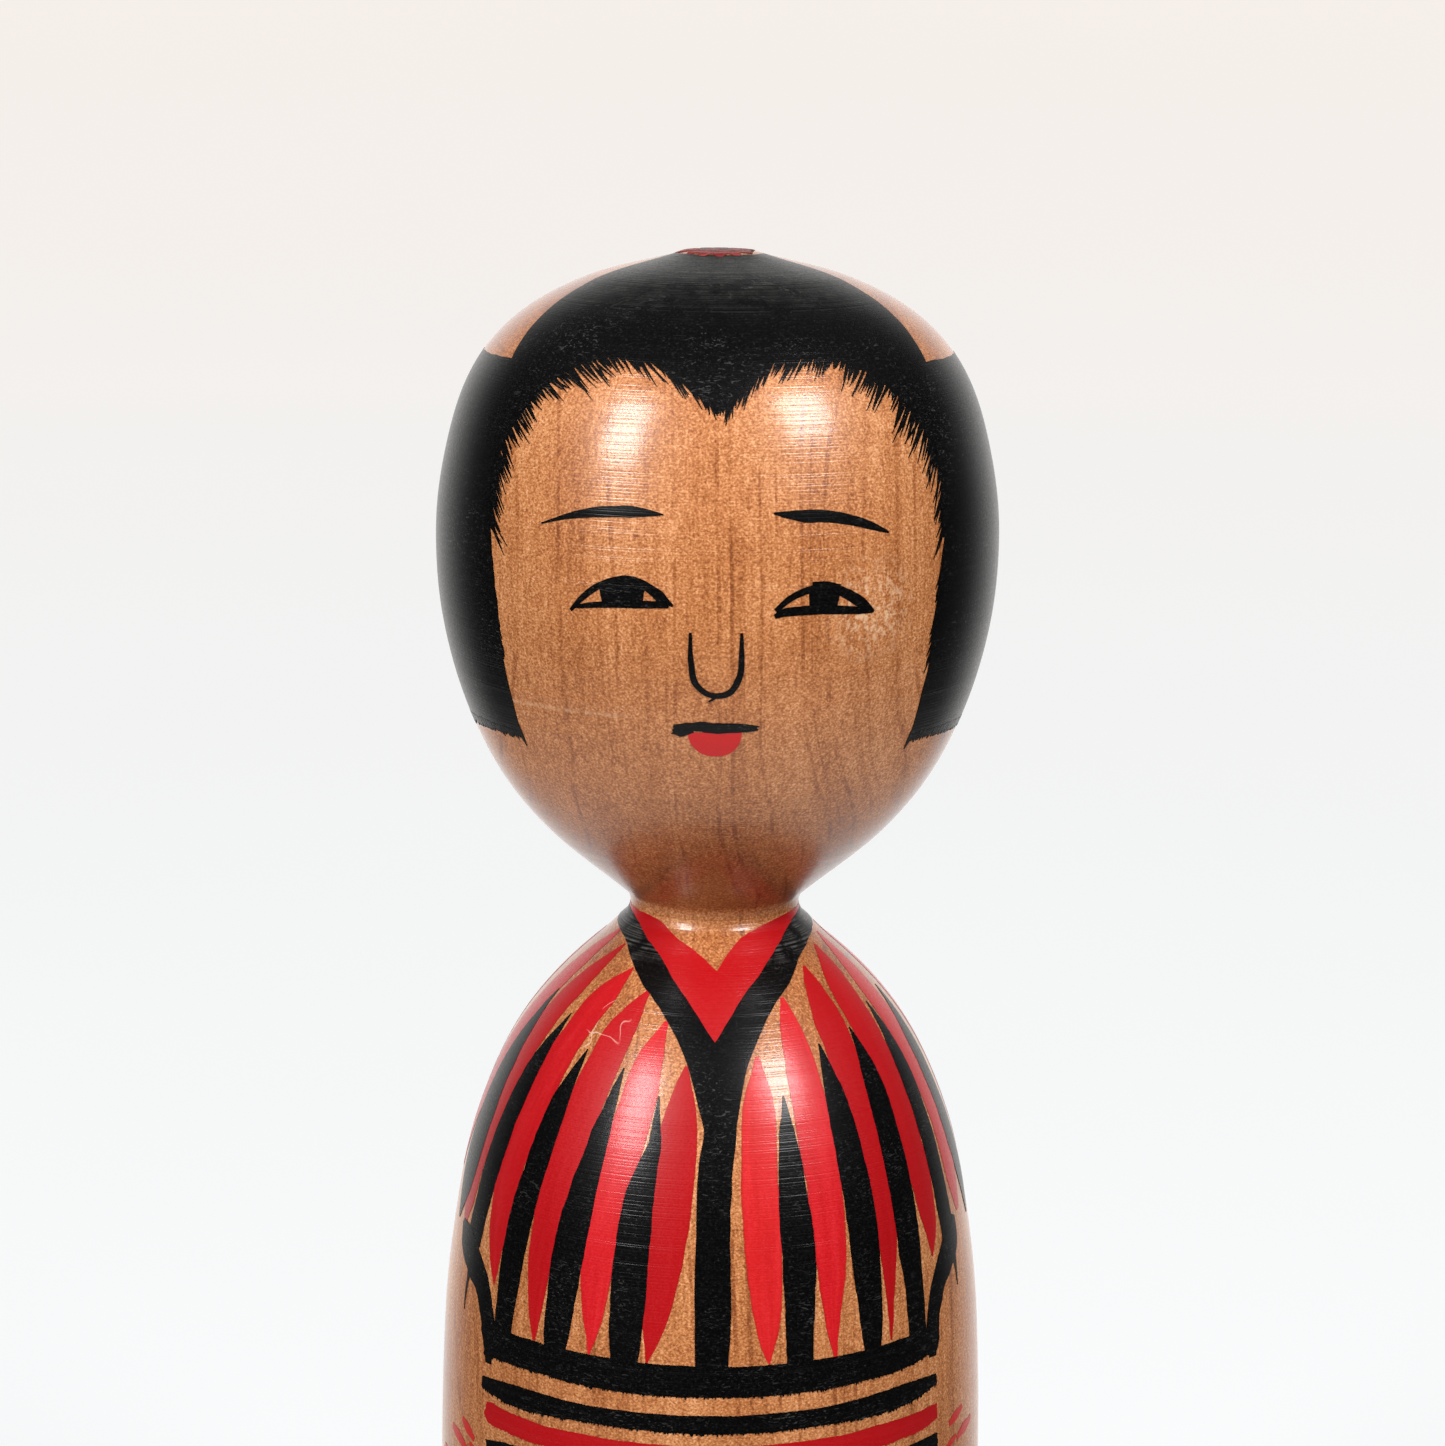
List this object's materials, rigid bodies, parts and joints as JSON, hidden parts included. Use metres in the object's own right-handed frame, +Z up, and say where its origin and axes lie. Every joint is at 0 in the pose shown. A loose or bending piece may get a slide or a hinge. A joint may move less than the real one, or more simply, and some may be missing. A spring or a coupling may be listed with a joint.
{
  "type": "kokeshi doll",
  "caption": "Turned wooden kokeshi doll with a round head that turns on its body, painted hair, face and striped kimono, flat base.",
  "frame": {"origin": "centre of the flat base, on the surface the doll stands on", "axes": "+Z up along the turning axis; the face looks towards -Y; +X is the viewer's right when facing the doll"},
  "size_m": [0.0872, 0.0872, 0.3],
  "materials": {
    "waxed_wood": "glossy wax over turned wood",
    "black_ink": "black ink on the wood, under wax",
    "red_dye": "red dye on the wood, under wax"
  },
  "bodies": {
    "body": {"body": "waxed_wood"},
    "head": {"head": "waxed_wood"}
  },
  "joints": [
    {"name": "head_turn", "type": "hinge", "parent": "body", "child": "head", "pos_m": [0, 0, 0.1975], "axis": [0, 0, 1], "continuous": true}
  ]
}
